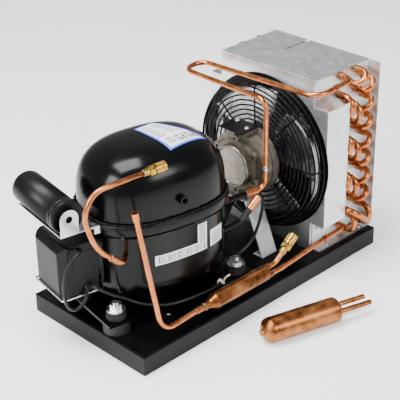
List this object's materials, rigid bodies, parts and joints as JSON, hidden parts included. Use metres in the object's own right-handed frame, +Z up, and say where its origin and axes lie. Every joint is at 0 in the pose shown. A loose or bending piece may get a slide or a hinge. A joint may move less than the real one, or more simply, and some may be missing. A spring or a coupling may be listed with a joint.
{
  "type": "refrigeration condensing unit",
  "caption": "Air-cooled refrigeration condensing unit: hermetic compressor, fan, finned coil, filter drier and copper lines on a black sheet-metal tray, with a loose spare drier.",
  "frame": {"origin": "on the floor, under the middle of the base tray", "axes": "+X along the tray from the compressor to the coil, +Y across it away from the drier, +Z up"},
  "size_m": [0.4555, 0.3052, 0.2573],
  "materials": {
    "black_sheet": "black powder coat",
    "shell_black": "satin black enamel",
    "rubber": "moulded",
    "bright_steel": "zinc plated",
    "black_plastic": "moulded",
    "tan_plastic": "moulded",
    "zinc": "galvanised sheet",
    "copper": "drawn copper",
    "brass": "turned",
    "fin": "rolled foil",
    "blade": "pressed sheet",
    "cast_grey": "die cast",
    "core_steel": "laminated",
    "iron": "machined casting",
    "desiccant": "beads",
    "wire": "extruded",
    "nylon": "moulded"
  },
  "bodies": {
    "unit": {"base_tray": "black_sheet", "compressor_lower_shell": "shell_black", "compressor_upper_shell": "shell_black", "shell_stubs": "shell_black", "mounting_feet": "shell_black", "rubber_grommets": "rubber", "grommet_sleeves": "bright_steel", "mounting_studs": "bright_steel", "terminal_fence": "shell_black", "starting_device": "tan_plastic", "relay_cover": "black_plastic", "cover_clip": "bright_steel", "capacitor_can": "black_plastic", "capacitor_cap": "black_plastic", "capacitor_bracket": "zinc", "process_tube": "copper", "tube_couplings": "copper", "valve_bodies": "brass", "discharge_line": "copper", "coil_tubes": "copper", "return_bends": "copper", "coil_fins": "fin", "near_end_plate": "zinc", "far_end_plate": "zinc", "shroud": "zinc", "coil_brackets": "zinc", "zinc_screws": "bright_steel", "fan_ring": "black_sheet", "fan_guard": "black_sheet", "motor_housing": "cast_grey", "motor_cap": "cast_grey", "motor_stator": "core_steel", "motor_bearings": "bright_steel", "motor_top_plate": "black_sheet", "motor_legs": "zinc", "liquid_line": "copper", "drier_shell": "copper", "drier_desiccant": "desiccant", "outlet_tube": "copper", "access_tube": "copper", "pump_stator": "core_steel", "cylinder_block": "iron", "support_springs": "bright_steel", "leads": "wire", "cable_tie": "nylon"},
    "fan": {"fan_blades": "blade", "fan_hub": "blade", "motor_rotor": "core_steel", "motor_shaft": "bright_steel"},
    "crank": {"pump_rotor": "core_steel", "crankshaft": "iron"},
    "piston_set": {"piston": "iron", "connecting_rod": "iron"},
    "process_seal": {"process_cap_seal": "rubber"},
    "process_cap_body": {"process_cap": "brass"},
    "access_seal": {"access_cap_seal": "rubber"},
    "access_cap_body": {"access_cap": "brass"},
    "process_pin": {"process_valve_pin": "bright_steel"},
    "access_pin": {"access_valve_pin": "bright_steel"},
    "loose_drier": {"spare_drier": "copper"}
  },
  "joints": [
    {"name": "fan_spin", "type": "hinge", "parent": "unit", "child": "fan", "pos_m": [0.09, 0.001, 0.142], "axis": [1, 0, 0], "continuous": true},
    {"name": "crank_spin", "type": "hinge", "parent": "unit", "child": "crank", "pos_m": [-0.097, 0.003, 0.09], "axis": [0, 0, 1], "continuous": true},
    {"name": "piston_stroke", "type": "slide", "parent": "unit", "child": "piston_set", "axis": [0.9848, -0.1736, 0], "range_m": [-0.018, 0]},
    {"name": "process_seal_rise", "type": "slide", "parent": "unit", "child": "process_seal", "axis": [0.9831, -0.1733, 0.0587], "range_m": [0, 0.0076]},
    {"name": "process_cap_turn", "type": "hinge", "parent": "process_seal", "child": "process_cap_body", "pos_m": [-0.15179, -0.05436, 0.221], "axis": [0.9831, -0.1733, 0.0587], "range_deg": [0, 2160]},
    {"name": "access_seal_rise", "type": "slide", "parent": "unit", "child": "access_seal", "axis": [0.8057, 0, 0.5924], "range_m": [0, 0.0076]},
    {"name": "access_cap_turn", "type": "hinge", "parent": "access_seal", "child": "access_cap_body", "pos_m": [0.037, -0.088, 0.058], "axis": [0.8057, 0, 0.5924], "range_deg": [0, 2160]},
    {"name": "process_pin_push", "type": "slide", "parent": "unit", "child": "process_pin", "axis": [-0.9831, 0.1733, -0.0587], "range_m": [0, 0.0008], "stiffness_N_per_m": 400},
    {"name": "access_pin_push", "type": "slide", "parent": "unit", "child": "access_pin", "axis": [-0.8057, 0, -0.5924], "range_m": [0, 0.0008], "stiffness_N_per_m": 400},
    {"name": "loose_drier_lift", "type": "slide", "parent": "unit", "child": "loose_drier", "axis": [0, 0, 1], "range_m": [0, 0.1]}
  ],
  "couplings": [
    {"joint": "process_cap_turn", "follows": "process_seal_rise", "rad_per_m": 4947.4},
    {"joint": "access_cap_turn", "follows": "access_seal_rise", "rad_per_m": 4947.4}
  ]
}
